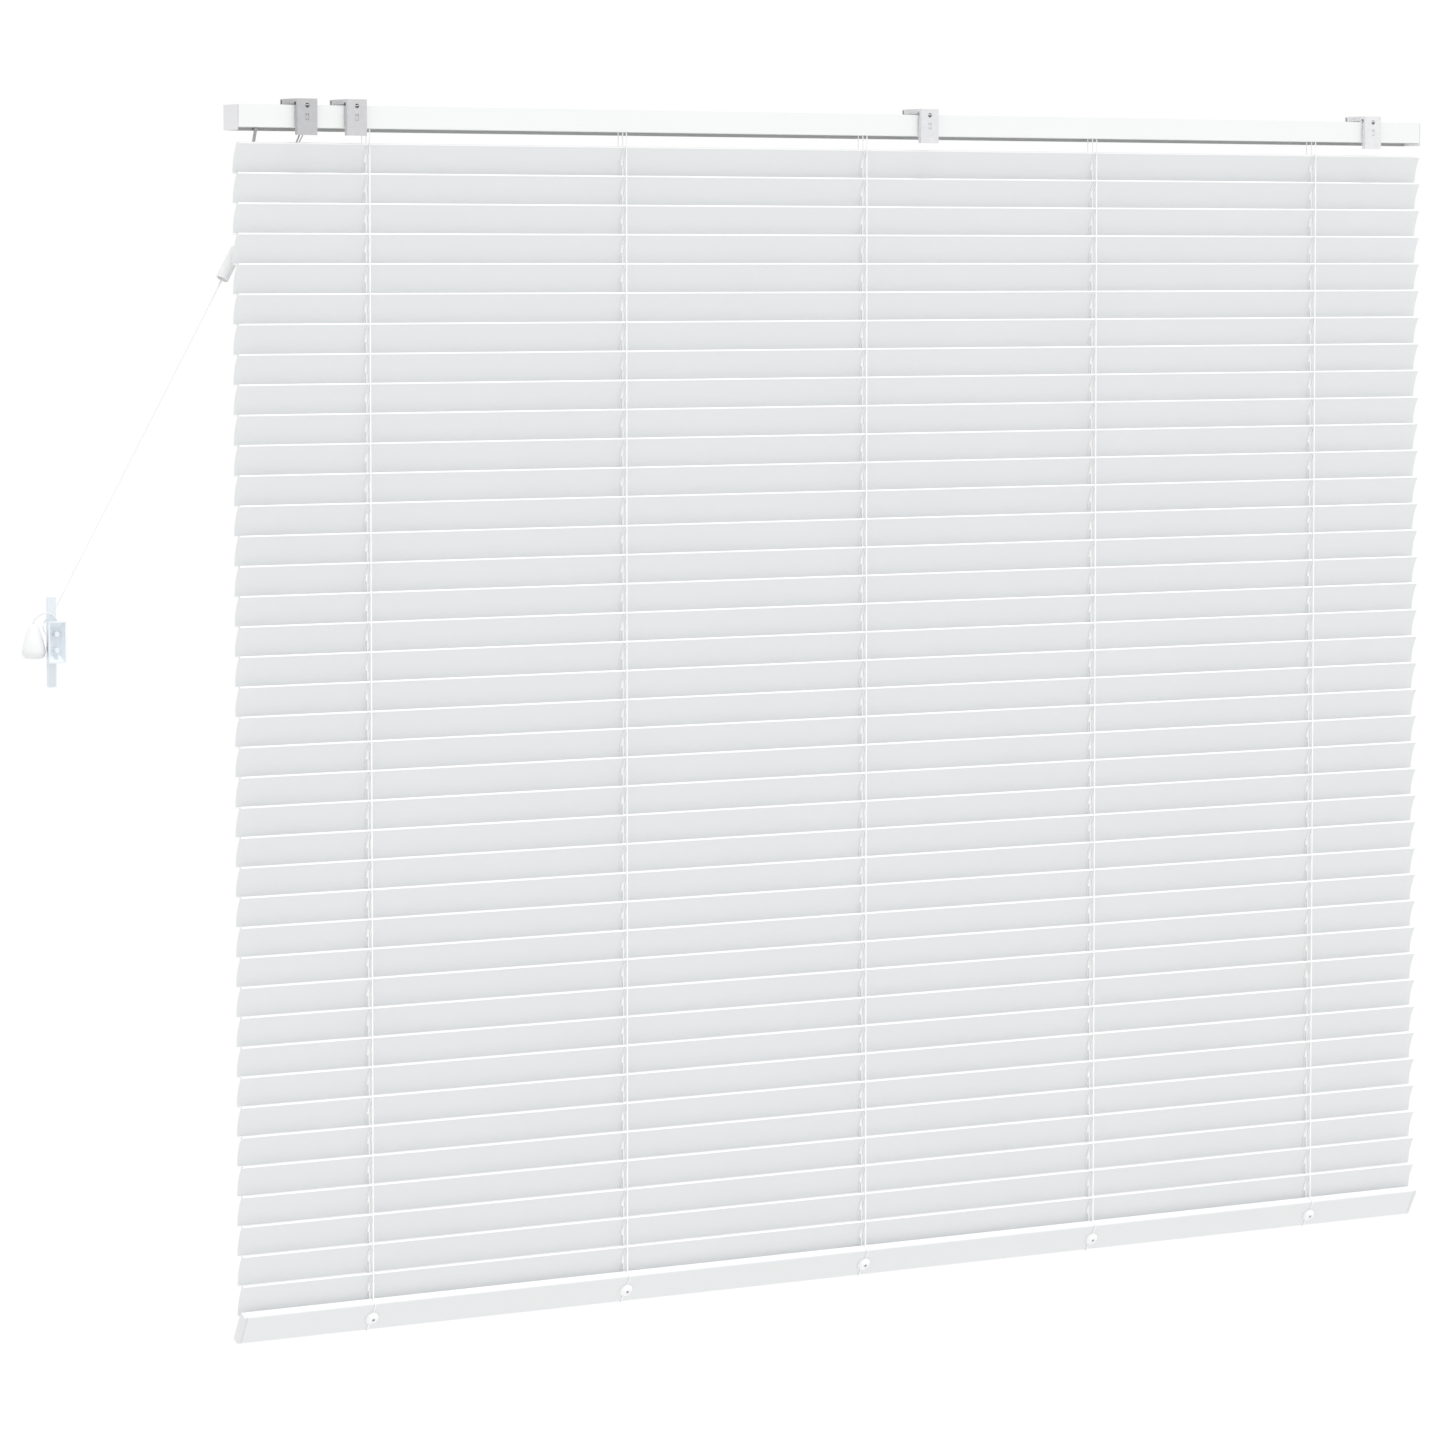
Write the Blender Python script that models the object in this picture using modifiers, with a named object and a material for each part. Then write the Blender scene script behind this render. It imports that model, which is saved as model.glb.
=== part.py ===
"""Venetian blinds: an aluminium blind, lowered and closed, with the cleat that ties off its pull cord.

+Z is up, -Y faces the room, +Y faces the wall, and +X is the end with the controls.
It is laid out with the top of the headrail at z = 0 and the slats centred on x = 0 and y = 0.
Then all of it is moved so that the origin is on the wall face of bracket 3.
"""

import math

import bmesh
import bpy
from mathutils import Vector

# Slats
SLAT_COUNT = 39
PITCH = 0.0315
SLAT_LENGTH = 1.575
SLAT_WIDTH = 0.035
SLAT_RISE = 0.0025
SHEET = 0.0006
BEAD_RADIUS = 0.0009
SLAT_STEPS = 6
FIRST_SLAT_Z = -0.0553
TILT = math.radians(73)

# Headrail: a channel open at the top, with its room wall lower than its wall-side wall
HEADRAIL_LEFT = 0.7902
HEADRAIL_RIGHT = -0.7792
HEADRAIL_HALF_DEPTH = 0.015
HEADRAIL_WALL = 0.0012
HEADRAIL_FLOOR_Z = -0.0235
HEADRAIL_LIP_Z = -0.027
HEADRAIL_CURL = 0.003
CAP_THICKNESS = 0.0016
LADDER_X = (0.631, 0.314, 0.001, -0.314, -0.630)
LADDER_SLOT = (0.008, 0.022)

# Brackets: a folded channel over the top and the wall side of the headrail
BRACKET_X = (0.7125, 0.6535, -0.0745, -0.7045)
BRACKET_WIDTH = 0.0235
BRACKET_SHEET = 0.0012
BRACKET_FLANGE = 0.0055
BRACKET_TOP_Z = 0.0065
BRACKET_BOTTOM_Z = -0.0315
BRACKET_WALL_Y = 0.0215
BRACKET_TIP_Y = -0.0165
BRACKET_HOOK = 0.007
CORNER_RELIEF_RADIUS = 0.0026
SCREW_HOLE_RADIUS = 0.0026
SCREW_HOLE_Z = -0.0006
SLOT_HALF_WIDTH = 0.0018
SLOT_HEIGHT = 0.0066
SLOT_Z = -0.0125
MOUNT_Z = -0.024

# Tilt mechanism in the headrail
ROD_RADIUS = 0.003
ROD_Z = -0.0108
ROD_RIGHT = -0.667
TILTER_X = 0.7562
TILTER_SIZE = (0.034, 0.0225, 0.0165)
TILTER_Z = -0.0126
SHAFT_RADIUS = 0.0017
SHAFT_LEAN = math.radians(20)
SHAFT_TOP = Vector((0.7562, -0.01, -0.0222))
SHAFT_LENGTH = 0.072
EYE_RADIUS = 0.0026
WAND_RADIUS = 0.0042
WAND_TOP_Z = -0.0905
WAND_LENGTH = 0.78
GAP = 0.0003

# Cord lock, condenser, pull cord, tassel and cleat
LOCK_X = 0.7
LOCK_SIZE = (0.03, 0.0225, 0.0165)
CORD_RADIUS = 0.0008
CONDENSER_RADIUS = 0.0067
CONDENSER_LENGTH = 0.038
CONDENSER_WALL = 0.0014
CONDENSER_BORE = 0.0012
CONDENSER_END = Vector((0.7886, -0.0262, -0.1815))
CORD_AT_CLEAT = Vector((0.9985, 0.0022, -0.519))
CLEAT_X = 1.004
CLEAT_Z = -0.551
CLEAT_BACK_Y = 0.0215
CLEAT_BASE = (0.02, 0.043)
CLEAT_FRONT = (0.013, 0.031)
CLEAT_BASE_DEPTH = 0.0075
CLEAT_NECK = (0.0085, 0.022, 0.0052)
CLEAT_BAR = (0.0102, 0.094, 0.0045)
CLEAT_WALL = 0.0017
BOSS_RADIUS = 0.0026
BOSS_SPACING = 0.0165
TASSEL_TOP = Vector((1.0238, 0.0065, -0.5325))
TASSEL_RADIUS = 0.0122
TASSEL_HEIGHT = 0.0355

# Bottom rail
RAIL_Z = -1.281
RAIL_WIDTH = 0.035
RAIL_THICKNESS = 0.0105
RAIL_TILT = math.radians(62)
RAIL_CORNER = 0.0022
RAIL_CAP = 0.0035
RAIL_HALF_LENGTH = 0.7876

# Ladder strands of the middle station, which swing with the slat edges
STRAND_RADIUS = 0.0006
STRAND_Y = 0.0079
STRAND_SWING = 0.0166
STRAND_WALL_TOP_Z = -0.0245
STRAND_ROOM_TOP_Z = -0.056
LADDER_MIDDLE = LADDER_X[2]

COLOURS = {
    "white_enamel": ((0.86, 0.87, 0.88, 1), 0.0, 0.32),
    "white_plastic": ((0.87, 0.88, 0.88, 1), 0.0, 0.42),
    "zinc_steel": ((0.56, 0.57, 0.58, 1), 1.0, 0.42),
    "clear_plastic": ((0.80, 0.84, 0.86, 1), 0.0, 0.2),
    "white_cord": ((0.85, 0.85, 0.84, 1), 0.0, 0.8),
}

for old in list(bpy.data.objects):
    bpy.data.objects.remove(old, do_unlink=True)


def collection(name):
    made = bpy.data.collections.new(name)
    bpy.context.scene.collection.children.link(made)
    return made


BLIND = collection("venetian_blinds")
CUTTERS = collection("cutters")


def material(slot):
    """The Principled material of one slot, made the first time it is asked for."""
    found = bpy.data.materials.get(slot)
    if found:
        return found
    colour, metallic, roughness = COLOURS[slot]
    found = bpy.data.materials.new(slot)
    found.use_nodes = True
    shader = found.node_tree.nodes["Principled BSDF"]
    shader.inputs["Base Color"].default_value = colour
    shader.inputs["Metallic"].default_value = metallic
    shader.inputs["Roughness"].default_value = roughness
    return found


def add_mesh(name, mesh_data, slot, origin=(0, 0, 0), home=BLIND):
    """Store a bmesh as a named object with its origin at the given point."""
    bmesh.ops.recalc_face_normals(mesh_data, faces=mesh_data.faces)
    bmesh.ops.translate(mesh_data, verts=mesh_data.verts, vec=-Vector(origin))
    mesh = bpy.data.meshes.new(name)
    mesh_data.to_mesh(mesh)
    mesh_data.free()
    made = bpy.data.objects.new(name, mesh)
    made.location = origin
    home.objects.link(made)
    if slot:
        mesh.materials.append(material(slot))
    return made


def smooth(made, angle=35):
    """Shade an object smooth, keeping edges sharper than the angle."""
    for polygon in made.data.polygons:
        polygon.use_smooth = True
    limit = math.radians(angle)
    shape = bmesh.new()
    shape.from_mesh(made.data)
    for edge in shape.edges:
        edge.smooth = len(edge.link_faces) == 2 and edge.calc_face_angle(0) < limit
    shape.to_mesh(made.data)
    shape.free()
    return made


def prism(outline, low, high):
    """A closed (y, z) outline drawn out along X."""
    shape = bmesh.new()
    ends = [[shape.verts.new((x, y, z)) for y, z in outline] for x in (low, high)]
    count = len(outline)
    for i in range(count):
        j = (i + 1) % count
        shape.faces.new((ends[0][i], ends[0][j], ends[1][j], ends[1][i]))
    shape.faces.new(ends[0][::-1])
    shape.faces.new(ends[1])
    return shape


def box(centre, size):
    shape = bmesh.new()
    bmesh.ops.create_cube(shape, size=1)
    bmesh.ops.scale(shape, vec=size, verts=shape.verts)
    bmesh.ops.translate(shape, vec=centre, verts=shape.verts)
    return shape


def rounded_box(centre, size, radius, segments=2):
    shape = box(centre, size)
    bmesh.ops.bevel(
        shape,
        geom=shape.edges[:],
        offset=radius,
        segments=segments,
        affect="EDGES",
        profile=0.5,
    )
    return shape


def frustum(sections):
    """Rectangles (x half width, z half height, y) around x = z = 0, joined one to the next."""
    shape = bmesh.new()
    rings = []
    for half_x, half_z, y in sections:
        corners = ((-half_x, -half_z), (half_x, -half_z), (half_x, half_z), (-half_x, half_z))
        rings.append([shape.verts.new((x, y, z)) for x, z in corners])
    for first, second in zip(rings, rings[1:]):
        for i in range(4):
            j = (i + 1) % 4
            shape.faces.new((first[i], first[j], second[j], second[i]))
    shape.faces.new(rings[0][::-1])
    shape.faces.new(rings[-1])
    return shape


def turned(profile, sides, start, along):
    """A solid of revolution: (radius, distance) points from end to end, on an axis from start."""
    shape = bmesh.new()
    rings = []
    for radius, distance in profile:
        angles = [2 * math.pi * k / sides for k in range(sides)]
        ring = [
            shape.verts.new((radius * math.cos(a), radius * math.sin(a), distance))
            for a in angles
        ]
        rings.append(ring)
    for first, second in zip(rings, rings[1:]):
        for k in range(sides):
            n = (k + 1) % sides
            shape.faces.new((first[k], first[n], second[n], second[k]))
    shape.faces.new(rings[0][::-1])
    shape.faces.new(rings[-1])
    turn = Vector((0, 0, 1)).rotation_difference(Vector(along).normalized())
    bmesh.ops.rotate(shape, verts=shape.verts, cent=(0, 0, 0), matrix=turn.to_matrix())
    bmesh.ops.translate(shape, verts=shape.verts, vec=start)
    return shape


def ring_turned(profile, sides, start, along):
    """A ring-shaped solid of revolution: its closed (radius, distance) outline never meets the axis."""
    shape = bmesh.new()
    rows = []
    for k in range(sides):
        angle = 2 * math.pi * k / sides
        row = [
            shape.verts.new((radius * math.cos(angle), radius * math.sin(angle), distance))
            for radius, distance in profile
        ]
        rows.append(row)
    count = len(profile)
    for k in range(sides):
        here, there = rows[k], rows[(k + 1) % sides]
        for i in range(count):
            j = (i + 1) % count
            shape.faces.new((here[i], here[j], there[j], there[i]))
    turn = Vector((0, 0, 1)).rotation_difference(Vector(along).normalized())
    bmesh.ops.rotate(shape, verts=shape.verts, cent=(0, 0, 0), matrix=turn.to_matrix())
    bmesh.ops.translate(shape, verts=shape.verts, vec=start)
    return shape


def combine(made, tools, operation):
    """Cut or join the tools, given as bmeshes, into an object."""
    for index, tool in enumerate(tools):
        cutter = add_mesh(
            f"{made.name}_{operation.lower()}_{index}", tool, None, home=CUTTERS
        )
        cutter.hide_render = True
        cutter.display_type = "WIRE"
        step = made.modifiers.new(f"tool_{index}", "BOOLEAN")
        step.operation = operation
        step.solver = "EXACT"
        step.object = cutter


def arc(centre, radius, start, stop, steps):
    """Points of an arc in the (y, z) plane."""
    turns = [start + (stop - start) * k / steps for k in range(steps + 1)]
    return [
        (centre[0] + radius * math.cos(a), centre[1] + radius * math.sin(a))
        for a in turns
    ]


def turn_outline(outline, angle):
    c, s = math.cos(angle), math.sin(angle)
    return [(c * y - s * z, s * y + c * z) for y, z in outline]


def slat_outline():
    """Section of a level slat, crown up, with a bead along each long edge."""
    reach = SLAT_WIDTH / 2 - BEAD_RADIUS
    radius = (reach**2 + SLAT_RISE**2) / (2 * SLAT_RISE)
    half = math.asin(reach / radius)
    centre = (0, -radius + SLAT_RISE / 2)
    bead_z = centre[1] + radius * math.cos(half)
    inset = half * (1 - 1.1 * BEAD_RADIUS / reach)
    up = math.pi / 2
    top = arc(centre, radius + SHEET / 2, up + inset, up - inset, SLAT_STEPS)
    low = arc(centre, radius - SHEET / 2, up - inset, up + inset, SLAT_STEPS)
    wall_bead = arc((reach, bead_z), BEAD_RADIUS, 2.3, -3.2, 6)
    room_bead = [(-y, z) for y, z in wall_bead][::-1]
    return top + wall_bead + low + room_bead


def rail_outline():
    """Section of the level bottom rail: a flat box with rounded corners."""
    half_w = RAIL_WIDTH / 2 - RAIL_CORNER
    half_t = RAIL_THICKNESS / 2 - RAIL_CORNER
    corners = ((half_w, half_t), (-half_w, half_t), (-half_w, -half_t), (half_w, -half_t))
    points = []
    for index, corner in enumerate(corners):
        start = index * math.pi / 2
        points += arc(corner, RAIL_CORNER, start, start + math.pi / 2, 3)
    return points


def slat_z(number):
    return FIRST_SLAT_Z - PITCH * (number - 1)


# Headrail and its end caps
outer = HEADRAIL_HALF_DEPTH
inner = HEADRAIL_HALF_DEPTH - HEADRAIL_WALL
curl = HEADRAIL_HALF_DEPTH - HEADRAIL_CURL
channel = [
    (outer, HEADRAIL_FLOOR_Z),
    (outer, 0),
    (curl, 0),
    (curl, -HEADRAIL_WALL),
    (inner, -HEADRAIL_WALL),
    (inner, HEADRAIL_FLOOR_Z + HEADRAIL_WALL),
    (-inner, HEADRAIL_FLOOR_Z + HEADRAIL_WALL),
    (-inner, -HEADRAIL_WALL),
    (-curl, -HEADRAIL_WALL),
    (-curl, 0),
    (-outer, 0),
    (-outer, HEADRAIL_LIP_Z),
    (-inner, HEADRAIL_LIP_Z),
    (-inner, HEADRAIL_FLOOR_Z),
]
headrail = add_mesh(
    "headrail", prism(channel, HEADRAIL_RIGHT, HEADRAIL_LEFT), "white_enamel"
)
openings = [
    box((x, 0, HEADRAIL_FLOOR_Z), (LADDER_SLOT[0], LADDER_SLOT[1], 0.006))
    for x in LADDER_X
]
openings.append(box((TILTER_X, -0.0092, HEADRAIL_FLOOR_Z), (0.0055, 0.0086, 0.006)))
openings.append(box((LOCK_X, -0.0085, HEADRAIL_FLOOR_Z), (0.012, 0.0096, 0.006)))
combine(headrail, openings, "DIFFERENCE")

for name, x, way in (
    ("end_cap_left", HEADRAIL_LEFT, 1),
    ("end_cap_right", HEADRAIL_RIGHT, -1),
):
    plate_x = x + way * (GAP + CAP_THICKNESS / 2)
    height = -HEADRAIL_LIP_Z
    plate = rounded_box(
        (plate_x, 0, -height / 2), (CAP_THICKNESS, 2 * outer, height), 0.0005, 1
    )
    cap = add_mesh(name, plate, "white_plastic")
    tongue_z = (HEADRAIL_FLOOR_Z + HEADRAIL_WALL - HEADRAIL_WALL) / 2
    tongue = box(
        (x - way * 0.002, 0, tongue_z),
        (0.0062, 2 * (inner - GAP), -HEADRAIL_FLOOR_Z - 2 * HEADRAIL_WALL - 2 * GAP),
    )
    combine(cap, [tongue], "UNION")
    smooth(cap)


# Brackets
def bracket_sheet(x):
    """The folded sheet without thickness: back, arm, hook and the two side flanges."""
    half = BRACKET_WIDTH / 2
    front_y = BRACKET_WALL_Y - BRACKET_FLANGE
    low_z = BRACKET_TOP_Z - BRACKET_FLANGE
    relief = CORNER_RELIEF_RADIUS
    inside = arc((front_y, low_z), relief, -math.pi / 2, math.pi, 9)
    fold = [
        (BRACKET_WALL_Y, BRACKET_BOTTOM_Z),
        (BRACKET_WALL_Y, low_z - relief),
        (BRACKET_WALL_Y, BRACKET_TOP_Z),
        (front_y - relief, BRACKET_TOP_Z),
        (BRACKET_TIP_Y + 0.004, BRACKET_TOP_Z),
        (BRACKET_TIP_Y, BRACKET_TOP_Z),
        (BRACKET_TIP_Y, BRACKET_TOP_Z - BRACKET_HOOK),
    ]
    shape = bmesh.new()
    strips = []
    for side in (-half, half):
        strips.append([shape.verts.new((x + side, y, z)) for y, z in fold])
    for i in range(len(fold) - 1):
        shape.faces.new((strips[0][i], strips[0][i + 1], strips[1][i + 1], strips[1][i]))
    for strip in strips:
        at_x = strip[0].co.x
        rim = [shape.verts.new((at_x, y, z)) for y, z in inside]
        foot = shape.verts.new((at_x, front_y, BRACKET_BOTTOM_Z))
        tip = shape.verts.new((at_x, BRACKET_TIP_Y + 0.004, low_z))
        shape.faces.new((strip[0], strip[1], rim[0], foot))
        shape.faces.new((strip[1], strip[2], strip[3], *rim[::-1]))
        shape.faces.new((strip[3], strip[4], tip, rim[-1]))
    return shape


for number, x in enumerate(BRACKET_X, 1):
    bracket = add_mesh(f"bracket_{number}", bracket_sheet(x), "zinc_steel")
    sheet = bracket.modifiers.new("sheet", "SOLIDIFY")
    sheet.thickness = BRACKET_SHEET
    sheet.offset = -1
    sheet.use_even_offset = True
    screw_hole = turned(
        ((SCREW_HOLE_RADIUS, 0), (SCREW_HOLE_RADIUS, 0.008)),
        16,
        (x, BRACKET_WALL_Y - 0.004, SCREW_HOLE_Z),
        (0, 1, 0),
    )
    slot = box((x, BRACKET_WALL_Y, SLOT_Z), (2 * SLOT_HALF_WIDTH, 0.006, SLOT_HEIGHT))
    combine(bracket, [screw_hole, slot], "DIFFERENCE")


# Tilt mechanism
tilter_right = TILTER_X - TILTER_SIZE[0] / 2
rod = turned(
    ((ROD_RADIUS, 0), (ROD_RADIUS, tilter_right - GAP - ROD_RIGHT)),
    6,
    (ROD_RIGHT, 0, ROD_Z),
    (1, 0, 0),
)
add_mesh("tilt_rod", rod, "zinc_steel", origin=(0, 0, ROD_Z))
tilter = add_mesh(
    "tilter_housing",
    rounded_box((TILTER_X, 0, TILTER_Z), TILTER_SIZE, 0.0012, 1),
    "white_plastic",
)
smooth(tilter)
shaft_way = Vector((0, -math.sin(SHAFT_LEAN), -math.cos(SHAFT_LEAN)))
shaft = turned(
    (
        (SHAFT_RADIUS, 0),
        (SHAFT_RADIUS, SHAFT_LENGTH - 0.007),
        (EYE_RADIUS, SHAFT_LENGTH - 0.005),
        (EYE_RADIUS, SHAFT_LENGTH - 0.001),
        (0.6 * EYE_RADIUS, SHAFT_LENGTH),
    ),
    12,
    SHAFT_TOP,
    shaft_way,
)
smooth(add_mesh("tilter_shaft", shaft, "white_plastic", origin=SHAFT_TOP))
shaft_end = SHAFT_TOP + shaft_way * SHAFT_LENGTH
wand_y = shaft_end.y - 0.0008
wand = turned(
    (
        (0.45 * WAND_RADIUS, 0),
        (0.75 * WAND_RADIUS, 0.001),
        (0.75 * WAND_RADIUS, 0.016),
        (WAND_RADIUS, 0.018),
        (WAND_RADIUS, WAND_LENGTH - 0.045),
        (1.35 * WAND_RADIUS, WAND_LENGTH - 0.035),
        (1.35 * WAND_RADIUS, WAND_LENGTH - 0.004),
        (0.9 * WAND_RADIUS, WAND_LENGTH),
    ),
    12,
    (shaft_end.x, wand_y, WAND_TOP_Z),
    (0, 0, -1),
)
smooth(
    add_mesh("wand", wand, "clear_plastic", origin=(shaft_end.x, wand_y, WAND_TOP_Z))
)

# Cord lock
lock = add_mesh(
    "cord_lock",
    rounded_box((LOCK_X, 0, TILTER_Z), LOCK_SIZE, 0.0012, 1),
    "white_plastic",
)
rod_bore = turned(
    ((ROD_RADIUS + 2 * GAP, 0), (ROD_RADIUS + 2 * GAP, 0.08)),
    16,
    (LOCK_X - 0.04, 0, ROD_Z),
    (1, 0, 0),
)
cord_mouth = box((LOCK_X, -0.0085, TILTER_Z - 0.0075), (0.007, 0.0055, 0.009))
combine(lock, [rod_bore, cord_mouth], "DIFFERENCE")
smooth(lock)

# Condenser: a hollow cylinder on the pull cord, closed at its upper end but for the bore
pull_way = (CORD_AT_CLEAT - CONDENSER_END).normalized()
condenser_top = CONDENSER_END - pull_way * CONDENSER_LENGTH
wide = CONDENSER_RADIUS
hollow = CONDENSER_RADIUS - CONDENSER_WALL
condenser = ring_turned(
    (
        (CONDENSER_BORE, 0),
        (wide - 0.0016, 0),
        (wide - 0.0004, 0.0007),
        (wide, 0.002),
        (wide, CONDENSER_LENGTH),
        (hollow, CONDENSER_LENGTH),
        (hollow, 0.004),
        (CONDENSER_BORE, 0.004),
    ),
    20,
    condenser_top,
    pull_way,
)
smooth(add_mesh("condenser", condenser, "white_plastic", origin=condenser_top))


# Pull cord: from the lock through the condenser, twice round the cleat's neck, to the tassel
def smooth_route(points, spacing):
    """Points at an even spacing on a Catmull-Rom curve through the route."""
    ends = [2 * points[0] - points[1], *points, 2 * points[-1] - points[-2]]
    fine = []
    for a, b, c, d in zip(ends, ends[1:], ends[2:], ends[3:]):
        for k in range(24):
            t = k / 24
            fine.append(
                0.5
                * (
                    2 * b
                    + (c - a) * t
                    + (2 * a - 5 * b + 4 * c - d) * t**2
                    + (3 * b - a - 3 * c + d) * t**3
                )
            )
    fine.append(points[-1])
    kept = [fine[0]]
    for point in fine[1:]:
        if (point - kept[-1]).length >= spacing:
            kept.append(point)
    kept[-1] = fine[-1]
    return kept


def cord_tube(name, points, radius, slot):
    curve = bpy.data.curves.new(name, "CURVE")
    curve.dimensions = "3D"
    curve.bevel_depth = radius
    curve.bevel_resolution = 2
    curve.use_fill_caps = True
    line = curve.splines.new("POLY")
    line.points.add(len(points) - 1)
    for spot, point in zip(line.points, points):
        spot.co = (*point, 1)
    curve.materials.append(material(slot))
    made = bpy.data.objects.new(name, curve)
    BLIND.objects.link(made)
    return made


lock_route = [
    Vector((LOCK_X, -0.0088, -0.019)),
    Vector((LOCK_X + 0.0008, -0.0112, -0.0262)),
    Vector((LOCK_X + 0.0045, -0.016, -0.039)),
    Vector((LOCK_X + 0.0135, -0.0205, -0.057)),
    Vector((LOCK_X + 0.04, -0.024, -0.1025)),
    Vector((LOCK_X + 0.0565, -0.0265, -0.1292)),
    condenser_top,
    CONDENSER_END,
]
straight = (CORD_AT_CLEAT - CONDENSER_END).length
pull_route = [
    CONDENSER_END + pull_way * straight * part / 8 for part in range(1, 8)
]
side = CLEAT_NECK[0] / 2 + 0.0021
rise = CLEAT_NECK[1] / 2 + 0.0028
near_y = 0.0104
far_y = 0.0127
cleat_route = [
    CORD_AT_CLEAT,
    Vector((CLEAT_X + 0.0050, 0.0020, CLEAT_Z + 0.0205)),
    Vector((CLEAT_X + 0.0084, 0.0056, CLEAT_Z + 0.0135)),
    Vector((CLEAT_X + side, near_y, CLEAT_Z + 0.005)),
    Vector((CLEAT_X + side, near_y, CLEAT_Z - 0.0098)),
    Vector((CLEAT_X, near_y, CLEAT_Z - rise)),
    Vector((CLEAT_X - side, near_y + 0.0006, CLEAT_Z - 0.0098)),
    Vector((CLEAT_X - side, far_y, CLEAT_Z + 0.0085)),
    Vector((CLEAT_X - side + 0.001, far_y - 0.0008, CLEAT_Z + 0.0185)),
    Vector((CLEAT_X - 0.0005, far_y - 0.0012, CLEAT_Z + 0.0265)),
    Vector((CLEAT_X + 0.0095, 0.0103, CLEAT_Z + 0.0298)),
    Vector((CLEAT_X + 0.0166, 0.0078, CLEAT_Z + 0.0255)),
    TASSEL_TOP + Vector((0, 0, 0.0035)),
    TASSEL_TOP,
    TASSEL_TOP - Vector((0, 0, 0.004)),
]
cord_points = smooth_route(lock_route, 0.006) + pull_route
cord_points += smooth_route([pull_route[-1], *cleat_route], 0.0035)[1:]
cord_tube("pull_cord", cord_points, CORD_RADIUS, "white_cord")

tassel = turned(
    (
        (0.30 * TASSEL_RADIUS, 0.0),
        (0.42 * TASSEL_RADIUS, 0.02 * TASSEL_HEIGHT),
        (0.50 * TASSEL_RADIUS, 0.12 * TASSEL_HEIGHT),
        (0.74 * TASSEL_RADIUS, 0.38 * TASSEL_HEIGHT),
        (0.95 * TASSEL_RADIUS, 0.66 * TASSEL_HEIGHT),
        (TASSEL_RADIUS, 0.80 * TASSEL_HEIGHT),
        (0.93 * TASSEL_RADIUS, 0.91 * TASSEL_HEIGHT),
        (0.72 * TASSEL_RADIUS, 0.98 * TASSEL_HEIGHT),
        (0.45 * TASSEL_RADIUS, TASSEL_HEIGHT),
    ),
    20,
    TASSEL_TOP,
    (0, 0, -1),
)
tassel_object = add_mesh("tassel", tassel, "white_plastic", origin=TASSEL_TOP)
well = turned(
    ((0.0016, -0.002), (0.0016, 0.006)),
    10,
    TASSEL_TOP,
    (0, 0, -1),
)
combine(tassel_object, [well], "DIFFERENCE")
smooth(tassel_object)

# Cleat, hollow towards the wall, with two screw bosses
front_y = CLEAT_BACK_Y - CLEAT_BASE_DEPTH
base = frustum(
    (
        (CLEAT_BASE[0] / 2, CLEAT_BASE[1] / 2, CLEAT_BACK_Y),
        (CLEAT_BASE[0] / 2, CLEAT_BASE[1] / 2, CLEAT_BACK_Y - 0.0015),
        (CLEAT_FRONT[0] / 2, CLEAT_FRONT[1] / 2, front_y),
    )
)
bmesh.ops.translate(base, verts=base.verts, vec=(CLEAT_X, 0, CLEAT_Z))
cleat = add_mesh("cleat", base, "white_plastic", origin=(CLEAT_X, CLEAT_BACK_Y, CLEAT_Z))
cavity = frustum(
    (
        (CLEAT_BASE[0] / 2 - CLEAT_WALL, CLEAT_BASE[1] / 2 - CLEAT_WALL, CLEAT_BACK_Y + 0.001),
        (CLEAT_BASE[0] / 2 - CLEAT_WALL, CLEAT_BASE[1] / 2 - CLEAT_WALL, CLEAT_BACK_Y - 0.0015),
        (CLEAT_FRONT[0] / 2 - CLEAT_WALL, CLEAT_FRONT[1] / 2 - CLEAT_WALL, front_y + CLEAT_WALL),
    )
)
bmesh.ops.translate(cavity, verts=cavity.verts, vec=(CLEAT_X, 0, CLEAT_Z))
combine(cleat, [cavity], "DIFFERENCE")
neck_y = front_y - CLEAT_NECK[2] / 2
bar_y = front_y - CLEAT_NECK[2] - CLEAT_BAR[2] / 2 + 0.0004
neck = box((CLEAT_X, neck_y + 0.0003, CLEAT_Z), (CLEAT_NECK[0], CLEAT_NECK[2] + 0.0012, CLEAT_NECK[1]))
bar = rounded_box((CLEAT_X, bar_y, CLEAT_Z), (CLEAT_BAR[0], CLEAT_BAR[2], CLEAT_BAR[1]), 0.0013, 2)
bosses = [
    turned(
        ((BOSS_RADIUS, 0), (BOSS_RADIUS, CLEAT_BASE_DEPTH - 0.0016)),
        14,
        (CLEAT_X, front_y + 0.0008, CLEAT_Z + way * BOSS_SPACING / 2),
        (0, 1, 0),
    )
    for way in (-1, 1)
]
combine(cleat, [neck, bar, *bosses], "UNION")
smooth(cleat)

# Slats
outline = turn_outline(slat_outline(), TILT)
for number in range(1, SLAT_COUNT + 1):
    z = slat_z(number)
    section = [(y, z + up) for y, up in outline]
    slat = add_mesh(
        f"slat_{number:02d}",
        prism(section, -SLAT_LENGTH / 2, SLAT_LENGTH / 2),
        "white_enamel",
        origin=(0, 0, z),
    )
    smooth(slat, 50)

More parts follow.
